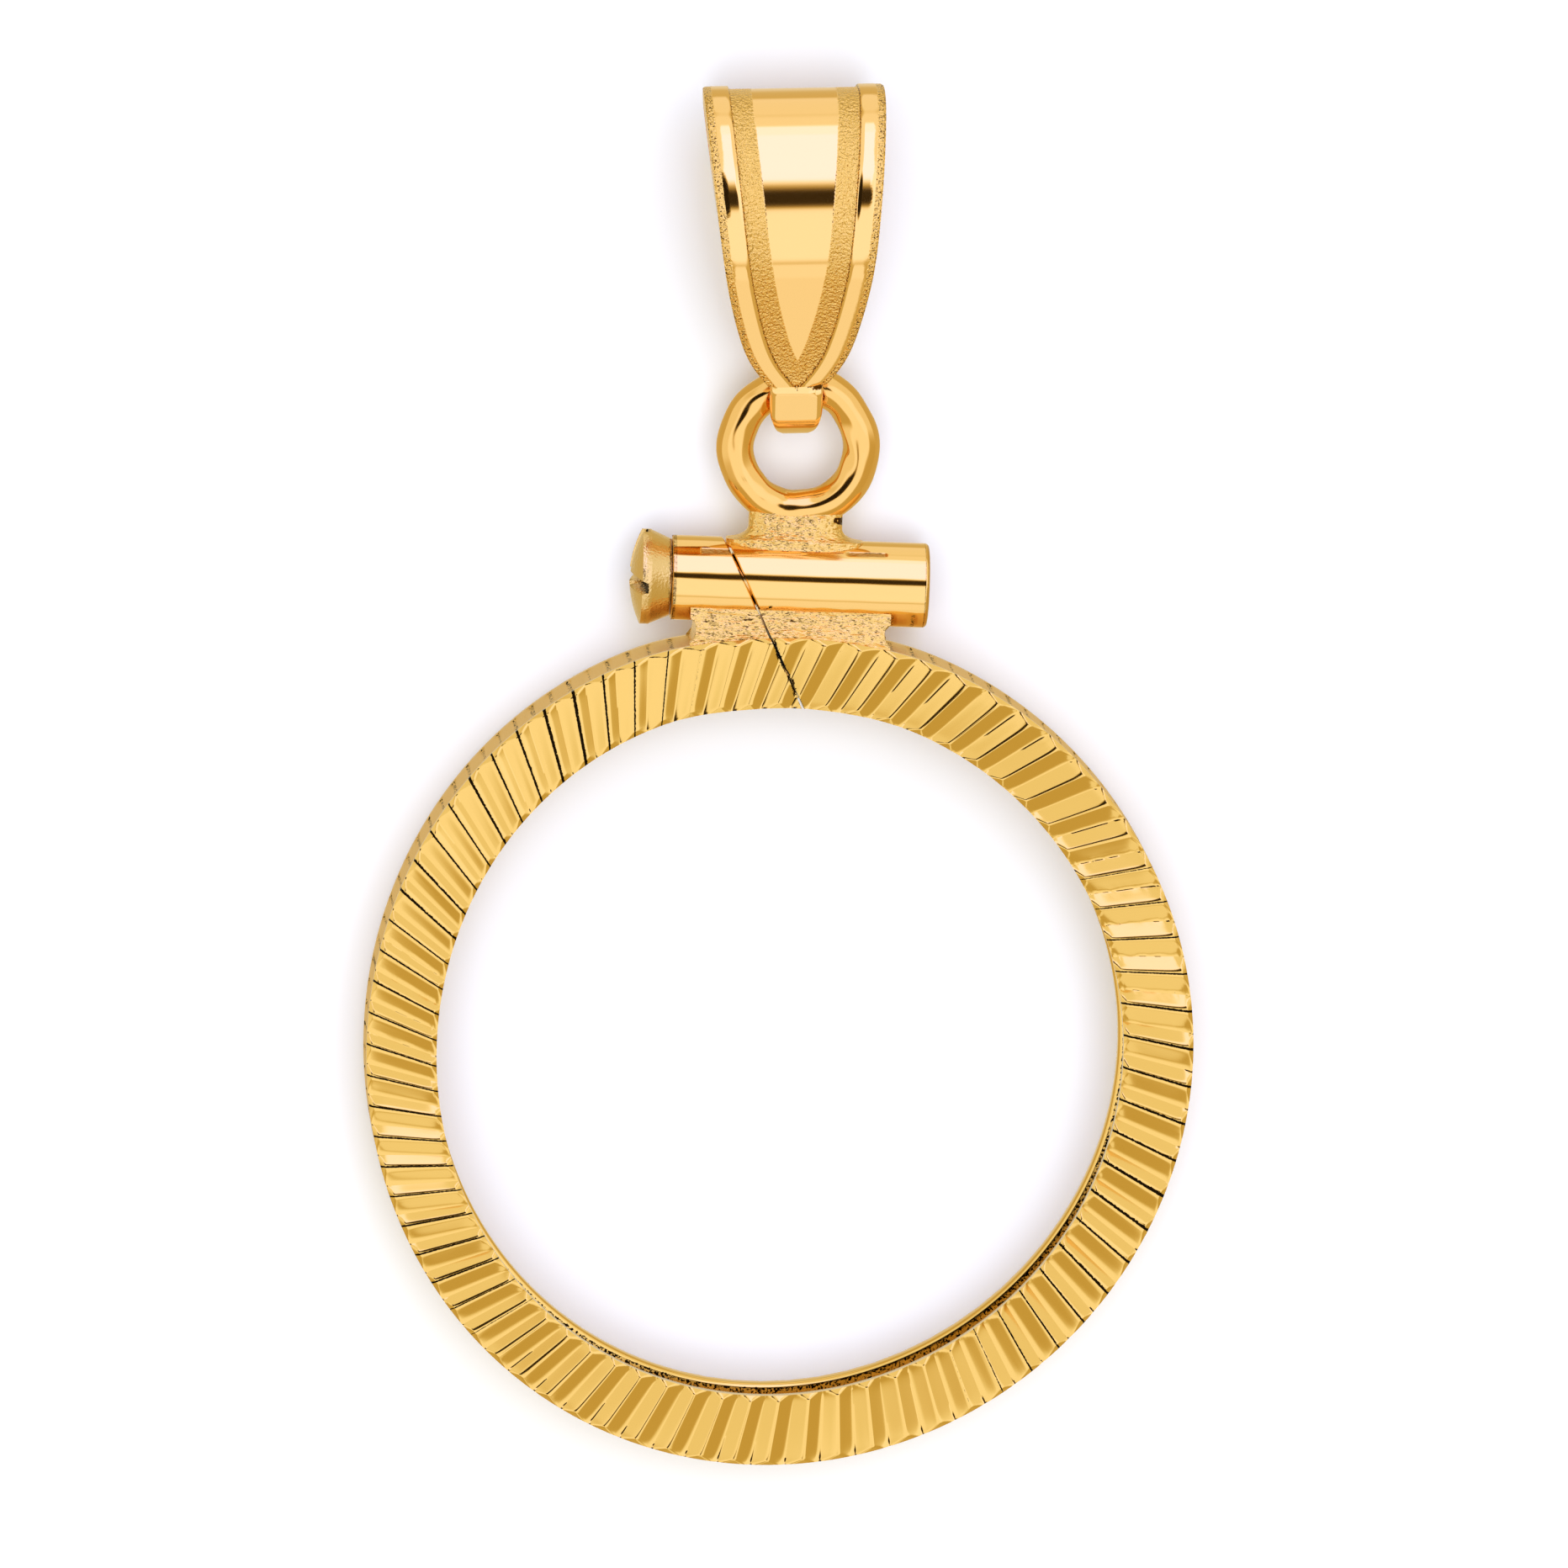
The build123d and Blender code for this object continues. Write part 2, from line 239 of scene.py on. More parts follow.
# the band; here and in the pieces below lengths are in mm and angles in degrees, clock angles clockwise
# from the top
band = {
    "seatRadius": 8.30, "seatHalf": 0.675, "lipRadius": 7.57, "outerRadius": 9.11, "half": 1.15,
    "outerBevel": 0.10, "innerBevel": 0.12, "innerBevelDrop": 0.075, "lipEdge": 0.10,
    "faceSamples": ((6, 20), (3, 14)),  # across a bevel and across the face between, in front and behind
    "flutes": (-2, 76),  # the first and one past the last, so that the cut falls inside them
    # shares of a flank, 1 on the ridge and 0 in the valley
    "flankSamples": (1.0, 0.975, 0.94, 0.90, 0.85, 0.78, 0.68, 0.54, 0.33, 0.10),
    # which ridge stands at which clock angle
    "ridges": ((-2, -7.9), (-1, -2.8), (0, 2.4), (1, 7.4), (4, 23.2), (8, 44.0), (12, 65.6), (16, 87.2),
               (20, 108.5), (24, 129.5), (28, 149.4), (34, 178.7), (39, 201.7), (44, 223.9), (49, 245.8),
               (54, 267.2), (59, 289.1), (64, 311.7), (69, 335.2), (74, 359.4), (76, 369.0)),
    # clock angle, degrees that a flute leans clockwise
    "slants": ((-8, 22.5), (12, 22), (27, 20.9), (57, 19), (72, 14.6), (87, 13.2), (102, 11.4), (132, 9.3),
               (162, 7.8), (192, 10.7), (222, 12.7), (252, 16.9), (282, 20.5), (300, 21.6), (327, 21.3),
               (345, 22.6), (369, 22.6)),
    # clock angle, share of the pitch at which the valley lies after a ridge
    "valleys": ((-8, 0.48), (30, 0.48), (70, 0.53), (100, 0.575), (135, 0.62), (180, 0.50), (222, 0.41),
                (257, 0.40), (286, 0.40), (318, 0.46), (369, 0.48)),
    # clock angle, how far the ridges are rounded over by polishing
    "rounded": ((-8, 0.25), (45, 0.2), (66, 0.6), (80, 1), (122, 1), (136, 0.3), (150, 0.12), (205, 0.12),
                (222, 0.8), (232, 1), (328, 1), (338, 0.5), (369, 0.25)),
    # clock angle, how deep a flute is there
    "depths": ((-8, 0.16), (10, 0.17), (40, 0.18), (70, 0.175), (100, 0.17), (140, 0.18), (190, 0.17),
               (215, 0.15), (250, 0.135), (282, 0.13), (300, 0.115), (340, 0.115), (352, 0.14),
               (369, 0.165)),
    # clock angle, how broad the painted dark reflection line beside a ridge is
    "lines": ((-8, 0), (48, 0), (62, 0.35), (80, 0.55), (95, 0.8), (125, 0.9), (145, 0.4), (155, 0),
              (215, 0), (235, 0.7), (330, 0.9), (342, 0.4), (348, 0), (369, 0)),
    "lineWidth": 0.30,  # share of the flank
    "lineSolid": 0.7,  # share of that width over which it fades in
    "lineLeast": 0.2,  # narrower lines are left out
    "lineClear": 0.96,  # where it ends, so that the ridge itself stays bright
    "roundUp": 0.6,  # share of the flank facing up in the picture that bends over to the ridge's top
    "roundDown": 0.10,  # the same for the flank facing down
    "valleyRound": 0.14, "valleySharp": 0.01,  # of the flank facing down, and of the one facing up
    "turnOver": (150.0, 165.0),  # clock angles over which a flute's first flank comes to face up
    "streaks": 0.0011,  # height of the fine streaks that the cutter leaves along a flute
    "endRound": 0.30,  # how much shallower a flute is at both ends, as a share of its depth
    "endPower": 8,
    "blend": 0.02,  # rounding where a flute meets the bevels
    "arcBlend": 0.006,  # and where an arced end meets the face
    "jitter": 0.06,
    "jitterTimes": {"depth": 1, "valley": 0.4, "rounded": 3, "line": 2},
    # saw cut, whose walls are darkened with painted shade
    "cutLean": 26.2, "cutAtLip": 0.14, "cutGap": 0.05, "cutTwist": 0.045,
    # out of round: mean, then cosine and sine of 1, 2 and 3 times the clock angle; fades out at the saddle
    "outOfRound": (0.042, (-0.026, -0.044), (0.059, 0.037), (-0.002, -0.041)),
    "outOfRoundFades": (6, 22, 338, 354),
    # shallow marks round the outer wall, darkened with painted shade: pitch and width in degrees
    "markPitch": 3.02, "markWidth": 0.82, "markDepth": 0.03, "markHalf": 0.78, "markSides": (0.35, 0.65),
    "wallRows": (0.80, 0.76, 0.0, -0.76, -0.80),
    # clock angle, how crumbly the valley's crease is; painted shade darkens the crumbs
    "crumble": ((50, 0), (56, 1), (82, 1), (88, 0), (262, 0), (268, 0.6), (282, 0.6), (288, 0)),
    "crumbleDepth": 0.007, "crumbleReach": 0.07,  # the reach as a share of the pitch
    # how soiled each part is
    # how dark each part is painted: painted shade on the marks, ledges, crumbled crease and saw cut, and a
    # painted dark reflection along the ridges
    "markShade": 0.50, "ledgeShade": 0.56, "crumbleShade": 0.45, "lineReflection": 0.85, "cutShade": 0.7,
    "seed": 4,
}


def table(rows, at):
    # straight lines between the rows of a two-column table
    return np.interp(at, *np.array(rows, dtype=float).T)


def cutX(y, z, side, s):
    # x of one wall of the saw cut, a plane that leans in the face and a little through the thickness:
    # x = cutAtLip - (y - lipRadius) tan(lean) + twist z, and half the gap to its side
    lean = math.radians(s["cutLean"])
    middle = s["cutAtLip"] - (y - s["lipRadius"]) * math.tan(lean) + s["cutTwist"] * z
    return middle + side * s["cutGap"] / 2 / math.cos(lean)


def cutAngle(s, radius, z, side):
    # Clock angle at which a circle meets one wall of the saw cut: the arcsine of x over the radius, found
    # by putting its y back in five times.
    angle = np.zeros_like(radius)
    for _ in range(5):
        angle = np.arcsin(cutX(radius * np.cos(angle), z, side, s) / radius)
    return angle


def climbShare(out, bend, valleyRound):
    # How much of a flank's height is climbed at a share of the way out from the valley. A hyperbola
    # rounds the valley; the flank is then straight up to 1 - bend and its slope falls to nothing along a
    # smooth step. It is scaled to end at 1.
    whole = math.sqrt(1 + valleyRound ** 2) - valleyRound
    rise = (np.sqrt(out ** 2 + valleyRound ** 2) - valleyRound) / whole
    past = np.clip((out - 1 + bend) / bend, 0, 1)
    return (rise - bend * (past ** 3 - past ** 4 / 2)) / (1 - bend / 2)


def smoothTop(a, b, blend):
    # the larger of two, rounded where they are nearly the same: half of a + b + sqrt((a - b)^2 + blend^2)
    return 0.5 * (a + b + np.sqrt((a - b) ** 2 + blend ** 2))


def slantedClock(clock, slant, radius, middle):
    # A slanted flute crosses the middle circle at one clock angle and meets a circle of another radius at
    # that angle + slant - arcsin(middle sin(slant) / radius), by the sine rule. All in radians.
    return clock + slant - np.arcsin(middle * np.sin(slant) / radius)


def fluteDepth(s, clock, radius, jitter):
    # How deep the flutes are at a clock angle and radius, and how much painted dark reflection lies beside
    # the ridge there. The angle is carried back along the slanted flute to the face's middle
    # circle, which gives the flute's number and the share of the way across it. The depth is the
    # cutter's, less the height that the flank has climbed from the valley. On the flank that faces up in
    # the picture the climb stays the same where the cutter runs out, so it ends in an arc; on the other
    # it shrinks with the depth, so that flank ends in a straight line.
    middle = (s["lipRadius"] + s["outerRadius"]) / 2
    firstFlute, lastFlute = s["flutes"]
    degrees = np.degrees(clock)
    home = degrees
    for _ in range(3):
        slant = np.radians(table(s["slants"], home))
        home = degrees - np.degrees(slantedClock(0, slant, radius, middle))
    ridgeNumber, ridgeClock = np.array(s["ridges"], dtype=float).T
    number = np.interp(home, ridgeClock, ridgeNumber)
    flute = np.clip(np.floor(number + 1e-6).astype(int), firstFlute, lastFlute - 1)
    share = number - flute
    own = s["jitter"] * jitter[:, flute - firstFlute]
    times = s["jitterTimes"]
    valley = table(s["valleys"], home) + times["valley"] * own[1]
    first = share < valley
    out = np.where(first, (valley - share) / valley, (share - valley) / (1 - valley))
    along = np.abs(radius - middle) / (s["outerRadius"] - middle)
    deepest = table(s["depths"], home) * (1 + times["depth"] * own[0])
    reach = deepest * (1 - s["endRound"] * along ** s["endPower"])
    firstFacesUp = smoothStep(*s["turnOver"], home)
    facesUp = np.where(first, firstFacesUp, 1 - firstFacesUp)
    worn = table(s["rounded"], home) * (1 + times["rounded"] * own[2])
    straight = reach * (1 - climbShare(out, s["roundDown"] * worn, s["valleyRound"]))
    climbed = deepest * climbShare(out, s["roundUp"] * worn, s["valleySharp"])
    arced = smoothTop(reach - climbed, 0, s["arcBlend"])
    line = np.maximum(table(s["lines"], home) * (1 + times["line"] * own[0]), 0.01)
    width = s["lineWidth"] * line
    shade = facesUp * smoothStep(1 - width, 1 - s["lineSolid"] * width, out)
    shade *= 1 - smoothStep(s["lineClear"], 1.0, out)
    return straight + (arced - straight) * facesUp, shade * (line > s["lineLeast"])


def bandColumns(s, jitter):
    # Ridge numbers of the columns and their clock angles on the middle circle: the same samples down one
    # flank of each flute and up the other, closer towards the ridges.
    firstFlute, lastFlute = s["flutes"]
    samples = np.array(s["flankSamples"])
    whole = np.arange(firstFlute, lastFlute)[:, None]
    ridgeNumber, ridgeClock = np.array(s["ridges"], dtype=float).T
    valley = table(s["valleys"], np.interp(whole + 0.5, ridgeNumber, ridgeClock))
    valley = valley + s["jitterTimes"]["valley"] * s["jitter"] * jitter[1][:, None]
    down = valley * (1 - samples)
    up = valley + (1 - valley) * np.concatenate([[0], samples[:0:-1]])
    numbers = np.append((whole + np.concatenate([down, up], axis=1)).ravel(), lastFlute)
    return numbers, np.interp(numbers, ridgeNumber, ridgeClock)


def bandSection(s):
    # The channel's section as a closed list of radii and heights, and for each point 1 on the front face,
    # -1 on the back one and 0 elsewhere: front from the lip outwards, outer wall, back inwards, and the
    # channel with quarter circles for the lips' edges.
    outer, lip, half, seat = s["outerRadius"], s["lipRadius"], s["half"], s["seatHalf"]
    middle = (lip + outer) / 2
    bevelIn, bevelOut, edge = s["innerBevel"], s["outerBevel"], s["lipEdge"]
    flat = middle - lip - bevelIn
    faces = [np.concatenate([lip + bevelIn * np.linspace(0, 1, onBevel),
                             middle - flat * np.cos(np.linspace(0, math.pi, onFace)[1:-1]),
                             outer - bevelOut * np.linspace(1, 0, onBevel)])
             for onBevel, onFace in s["faceSamples"]]
    drop = s["innerBevelDrop"] / bevelIn
    plain = [half - np.maximum(0, np.maximum((lip + bevelIn - face) * drop, face - outer + bevelOut))
             for face in faces]
    turn = np.linspace(0, math.pi / 2, 4)[:, None]
    rounded = np.hstack([lip + edge * (1 - np.cos(turn)), edge * (np.sin(turn) - 1) - seat])
    corner = np.array([[s["seatRadius"], -seat]])
    channel = np.vstack([rounded, corner, corner * [1, -1], rounded[::-1] * [1, -1]])
    wall = np.array(s["wallRows"])
    radius = np.concatenate([faces[0], np.full(len(wall), outer), faces[1][::-1], channel[:, 0]])
    height = np.concatenate([plain[0], wall, -plain[1][::-1], channel[:, 1]])
    isFace = np.repeat([1, 0, -1, 0], [len(faces[0]), len(wall), len(faces[1]), len(channel)])
    return radius, height, isFace


def makeBand(s):
    # The channel's section is carried round the clock. Columns follow the slanted flutes and stop at the
    # saw cut. On the faces the height is the lower of the plain face and the flute's floor, half less its
    # depth; then the radius gets the out-of-round waves, less the marks round the wall.
    random = np.random.default_rng(s["seed"])
    firstFlute, lastFlute = s["flutes"]
    jitter = random.uniform(-1, 1, (3, lastFlute - firstFlute))
    numbers, home = bandColumns(s, jitter)
    radius, height, isFace = bandSection(s)
    middle = (s["lipRadius"] + s["outerRadius"]) / 2

    slant = np.radians(table(s["slants"], home))[:, None]
    free = slantedClock(np.radians(home)[:, None], slant, radius[None, :], middle)
    radiusGrid = np.broadcast_to(radius, free.shape)
    afterCut, beforeCut = (cutAngle(s, radiusGrid, height, side) for side in (1, -1))
    clock = np.clip(free, afterCut, 2 * math.pi + beforeCut)
    atCut = clock != free
    depth, shade = fluteDepth(s, clock, radiusGrid, jitter)
    fromValley = (numbers % 1)[:, None] - table(s["valleys"], home)[:, None]
    nearValley = np.exp(-(fromValley / s["crumbleReach"]) ** 2)
    crumbs = random.uniform(-1, 1, clock.shape) * nearValley * table(s["crumble"], home)[:, None]
    streaks = s["streaks"] * random.uniform(-1, 1, (len(numbers), 1))
    rough = (s["crumbleDepth"] * crumbs + streaks) * (isFace > 0) * ~atCut
    cut = -smoothTop(-np.abs(height), np.maximum(depth + rough, 0) - s["half"], s["blend"])
    z = np.where(isFace == 0, height, isFace * cut)

    degrees = np.degrees(clock)
    fromMark = np.abs((degrees % s["markPitch"]) - s["markPitch"] / 2)
    onWall = (isFace == 0) & (radius == s["outerRadius"])
    # where the channel meets its lips, darkened with painted shade
    onLedge = (isFace == 0) & np.isclose(radius, s["lipRadius"] + s["lipEdge"])
    mark = (1 - smoothStep(*(s["markWidth"] * side for side in s["markSides"]), fromMark)) * onWall
    mean, *waves = s["outOfRound"]
    fadeFrom, fadeTo, fadeBack, fadeEnd = s["outOfRoundFades"]
    near = smoothStep(fadeFrom, fadeTo, degrees) * (1 - smoothStep(fadeBack, fadeEnd, degrees))
    wave = mean + sum(c * np.cos(k * clock) + d * np.sin(k * clock) for k, (c, d) in enumerate(waves, 1))
    reach = radiusGrid - s["markDepth"] * mark * (np.abs(height) < s["markHalf"]) + near * wave
    points = np.stack([reach * np.sin(clock), reach * np.cos(clock), z], axis=-1)
    # painted shade on the marks, ledges, crease and cut, and the painted dark reflection along the ridges
    soilAndShade = (s["markShade"] * mark + s["ledgeShade"] * onLedge + s["crumbleShade"] * np.abs(crumbs)
              + s["lineReflection"] * shade * (isFace > 0) + s["cutShade"] * atCut)
    worked = np.broadcast_to(onWall | (radius == s["seatRadius"]), clock.shape)
    return makePiece("fluted_band", "diamondCutGold", points, {"worked": worked, "soilAndShade": soilAndShade})


bandPiece = makeBand(band)
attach(bandPiece, "frame_body")


def ripple(points, size, amount, seed, terms=14):
    # Gentle unevenness: a sum of sine waves in random directions, each about size mm long, scaled to
    # amount mm.
    random = np.random.default_rng(seed)
    total = np.zeros(points.shape[:-1])
    for _ in range(terms):
        direction = random.normal(size=3)
        direction *= 2 * math.pi / (size * random.uniform(0.6, 1.6)) / np.linalg.norm(direction)
        total += np.sin(points @ direction + random.uniform(0, 2 * math.pi))
    return total * amount / math.sqrt(terms)


# the barrels: one tube, parted by the saw cut
barrel = {
    "radius": 0.93, "bore": 0.60, "y": 10.25, "left": 2.78, "right": 2.88, "bevel": 0.10, "cutBevel": 0.03,
    "around": 240, "along": 90, "onBevel": 6,
    "dent": 0.0012, "dentSize": 1.1,
    # shallow flats filed into the tubes: x from, x to, middle and half width in degrees from the front
    "flats": ((-2.16, -1.50, 47.0, 4.5), (1.06, 1.90, 50.0, 3.5)),
    "flatDepth": 0.018, "flatSides": (0.85, 1.15), "flatEnd": 0.03, "flatSoil": 0.12,
    "endWorked": 0.6,  # how grained the sawn ends are
}


def makeBarrel(name, s, side, seed):
    # A closed profile, given by the radius, how far each point stands back from the tube's end or from
    # the saw cut, and its share of the way between them, swept once round the axis: y + radius sin,
    # radius cos. The cut slants, so its x is worked out at each point. Dents and flats move the outside
    # along the radius.
    end = s["right"] if side > 0 else -s["left"]
    turn = np.linspace(0, math.pi / 2, s["onBevel"])
    middle = np.linspace(0.02, 0.98, s["along"])
    before = np.zeros(s["onBevel"] + 1)  # the bore's edge and the bevel
    radius = np.concatenate([[s["bore"]], s["radius"] - s["bevel"] * (1 - np.sin(turn)),
                             np.full(len(middle), s["radius"]),
                             [s["radius"], s["radius"] - s["cutBevel"], s["bore"]]])
    fromEnd = np.concatenate([[0], s["bevel"] * (1 - np.cos(turn)), np.zeros(len(middle) + 3)])[:, None]
    fromCut = np.concatenate([before, np.zeros(len(middle)), [s["cutBevel"], 0, 0]])[:, None]
    share = np.concatenate([before, middle, np.ones(3)])[:, None]
    angle = fullTurn(s["around"])
    y = s["y"] + radius[:, None] * np.sin(angle)
    z = radius[:, None] * np.cos(angle)
    x = (end - side * fromEnd) * (1 - share) + (cutX(y, z, side, band) + side * fromCut) * share
    points = np.stack([x, y, z], axis=-1)
    flat = np.zeros(x.shape)
    for start, stop, at, half in s["flats"]:
        across = 1 - smoothStep(*s["flatSides"], np.abs(np.degrees(angle) - at) / half)
        starts = smoothStep(start - s["flatEnd"], start + s["flatEnd"], x)
        flat += across * starts * (1 - smoothStep(stop - s["flatEnd"], stop + s["flatEnd"], x))
    push = ripple(points, s["dentSize"], s["dent"], seed) - s["flatDepth"] * flat
    push *= radius[:, None] > s["bore"]
    points[..., 1] += push * np.sin(angle)
    points[..., 2] += push * np.cos(angle)
    onEnd = (share == 0) & (fromEnd < s["bevel"] / 2) & (radius[:, None] < s["radius"])
    marks = {"worked": np.maximum(flat, s["endWorked"] * onEnd), "soilAndShade": s["flatSoil"] * flat}
    return makePiece(name, "drawnTubeGold", points, marks, closed=True)


barrelLeft = makeBarrel("barrel_left", barrel, -1, 11)
barrelRight = makeBarrel("barrel_right", barrel, 1, 12)


# the saddle: solder run between the band and the barrels, parted by the same cut
saddle = {
    "left": 2.34, "right": 2.06, "foot": 0.94, "notch": 0.13, "climb": 52.0, "hollow": 0.05,
    "bandRadius": 9.11, "inBand": 0.12, "barrelY": 10.25, "barrelRadius": 0.93, "inWall": 0.77,
    "along": 200, "onFront": 26, "onTop": 15,
    "wallFade": (9.1, 9.5),  # y over which it stops following the band's wall
    "streak": 0.008, "streakSize": 0.13, "streakDraw": 0.2,  # drawn out five times along the barrels
    "roughFrom": 9.0,
    "soil": 0.26, "patchSoil": 0.08, "patchSize": 0.5, "patchDraw": 0.4, "patchSides": (0.05, 0.25),
}


def makeSaddle(name, s, side, seed):
    # Its front is a shallow hollow between the band's face and the barrel, carried along x and mirrored
    # to the back; on top it ends in an arc inside the tube's wall, clear of the bore. Its end is a
    # quarter-round notch, x = end - sqrt(notch^2 - height^2). Fine ripples, drawn out along the barrels,
    # roughen it.
    share = np.linspace(0, 1, s["onFront"])
    climb = math.radians(s["climb"])
    waistY = s["barrelY"] - s["barrelRadius"] * math.cos(climb)
    waistZ = s["barrelRadius"] * math.sin(climb)
    frontY = np.append(s["bandRadius"] - s["inBand"], s["bandRadius"] + share * (waistY - s["bandRadius"]))
    hollow = s["hollow"] * 4 * share * (1 - share)
    frontZ = np.append(s["foot"], s["foot"] + share * (waistZ - s["foot"]) - hollow)
    under = np.linspace(climb, -climb, s["onTop"])
    y = np.concatenate([frontY, s["barrelY"] - s["inWall"] * np.cos(under), frontY[::-1]])
    z = np.concatenate([frontZ, s["inWall"] * np.sin(under), -frontZ[::-1]])
    end = s["right"] if side > 0 else -s["left"]
    along, yGrid = np.meshgrid(np.linspace(0, 1, s["along"]), y, indexing="ij")
    zGrid = np.broadcast_to(z, yGrid.shape)
    height = yGrid - s["barrelY"] + s["barrelRadius"]
    notch = np.sqrt(np.maximum(s["notch"] ** 2 - height ** 2, 0))
    x = (end - side * notch) * (1 - along) + cutX(yGrid, zGrid, side, band) * along
    wall = np.sqrt(s["bandRadius"] ** 2 - x ** 2)
    yGrid = yGrid - (s["bandRadius"] - wall) * (1 - smoothStep(*s["wallFade"], yGrid))
    points = np.stack([x, yGrid, zGrid], axis=-1)
    rough = y > s["roughFrom"]
    push = ripple(points * [s["streakDraw"], 1, 1], s["streakSize"], s["streak"], seed)
    points[..., 2] += np.sign(z) * push * rough
    patches = np.abs(ripple(points * [s["patchDraw"], 1, 1], s["patchSize"], 1.0, seed + 2))
    front = (z > 0) * smoothStep(*s["patchSides"], patches)
    marks = {"worked": np.ones(x.shape), "soilAndShade": s["soil"] + s["patchSoil"] * front * rough}
    return makePiece(name, "solderGold", points, marks)


saddleLeft = makeSaddle("saddle_left", saddle, -1, 21)
saddleRight = makeSaddle("saddle_right", saddle, 1, 22)


# the hanger ring
hanger = {
    "radius": 1.38, "wire": 0.405, "x": -0.08, "y": 13.23, "around": 240, "section": 96,
    "uneven": 0.012,  # how much the wire swells and thins
    "dent": 0.015, "dentSize": 0.9, "dentTube": 0.35, "seed": 5,
    "innerSide": (-0.9, -1.0),  # cosine round the wire where the grained inner side starts and is full
}


def makeHanger(s):
    # A torus, (radius + wire cos v) round the ring and wire sin v across it, whose wire swells and thins a
    # little, with long shallow dents along it from being bent and closed.
    u, v = np.meshgrid(fullTurn(s["around"]), fullTurn(s["section"]), indexing="ij")
    place = np.stack([s["radius"] * np.sin(u), s["radius"] * np.cos(u), s["dentTube"] * np.sin(v)], axis=-1)
    dents = ripple(place + s["dentTube"] * np.cos(v)[..., None], s["dentSize"], s["dent"], s["seed"])
    wire = s["wire"] + s["uneven"] * np.sin(3 * u + 1) * np.cos(v) + dents
    reach = s["radius"] + wire * np.cos(v)
    points = np.stack([s["x"] + reach * np.sin(u), s["y"] + reach * np.cos(u), wire * np.sin(v)], axis=-1)
    marks = {"worked": smoothStep(*s["innerSide"], np.cos(v)), "soilAndShade": np.zeros(u.shape)}
    return makePiece("hanger_ring", "tumbledWireGold", points, marks, closed=True)


hangerRing = makeHanger(hanger)

# the solder under the hanger ring
neck = {
    "x": -0.08, "barrelTop": 11.18, "top": 12.05, "half": 1.03, "flare": 0.48, "rise": 0.28, "sink": 0.20,
    "depth": 0.46, "footDepth": 0.12, "roundFrom": 11.4, "roundOver": 0.66, "roundMost": 0.98,
    "squareness": 3.2, "around": 240, "along": 90,
    "rough": 0.009, "roughSizes": (0.18, 0.5), "soil": 0.27,
    "pit": (0.94, 11.62), "pitSize": (0.16, 0.11), "pitDepth": 0.10, "pitSides": (0.7, 1.1), "pitShade": 0.8,
    "pitRagged": 0.3, "pitRaggedSize": 0.12,
}


def makeNeck(s, seed):
    # Rounded oblong sections, |x / half|^n + |z / depth|^n = 1, one above the other from inside the
    # barrel to inside the ring's wire. They widen in a quarter circle towards the barrel and thin in
    # another towards the ring. Two sizes of ripple roughen the front and back, and a ragged pit is sunk
    # into the front.
    up, angle = np.meshgrid(np.linspace(0, 1, s["along"]), fullTurn(s["around"]), indexing="ij")
    y = s["barrelTop"] - s["sink"] + up * (s["top"] - s["barrelTop"] + s["sink"])
    above = np.clip((y - s["barrelTop"]) / s["rise"], 0, 1)
    half = s["half"] + s["flare"] * (1 - np.sqrt(np.clip(1 - (1 - above) ** 2, 0, 1)))
    towardsRing = np.clip((y - s["roundFrom"]) / s["roundOver"], 0, s["roundMost"])
    depth = (s["depth"] + s["footDepth"] * (1 - above) ** 2) * np.sqrt(1 - towardsRing ** 2)
    power = 2 / s["squareness"]
    x = half * np.sign(np.cos(angle)) * np.abs(np.cos(angle)) ** power
    z = depth * np.sign(np.sin(angle)) * np.abs(np.sin(angle)) ** power
    points = np.stack([s["x"] + x, y, z], axis=-1)
    push = sum(ripple(points, size, s["rough"], seed + k) for k, size in enumerate(s["roughSizes"]))
    points[..., 2] += np.sign(z) * np.abs(np.sin(angle)) * push
    fromPit = [(points[..., k] - s["pit"][k]) / s["pitSize"][k] for k in (0, 1)]
    ragged = np.hypot(*fromPit) + s["pitRagged"] * ripple(points, s["pitRaggedSize"], 1.0, seed + 3)
    inPit = (1 - smoothStep(*s["pitSides"], ragged)) * (points[..., 2] > 0)
    points[..., 2] -= s["pitDepth"] * inPit
    # the pit is darkened with painted shade
    marks = {"worked": np.ones(x.shape), "soilAndShade": np.maximum(s["pitShade"] * inPit, s["soil"])}
    return makePiece("neck_solder", "solderGold", points, marks)


neckPiece = makeNeck(neck, 31)
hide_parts("bezel_frame")
onBand = (barrelLeft, barrelRight, saddleLeft, saddleRight, hangerRing, neckPiece)
for piece in onBand:
    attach(piece, "frame_body")
    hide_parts("bezel_frame")

# the screw
screw = {
    "y": 10.25, "seat": -2.80, "cone": 0.41, "rim": 0.22, "dome": 0.25, "radius": 1.045, "foot": 0.85,
    "rimEdge": 0.03, "rimBreak": 0.02, "headRows": 48, "headAround": 256, "headWorked": 0.25,
    "slotWidth": 0.26, "slotDepth": 0.36, "slotTurn": 8.0, "slotEdge": 0.03, "slotShade": 0.72,
    "shank": 0.56, "tip": 2.58, "pitch": 0.25, "threadDepth": 0.10, "threadLength": 2.8, "runOut": 0.1,
    "shankRows": 500, "shankAround": 64,
}


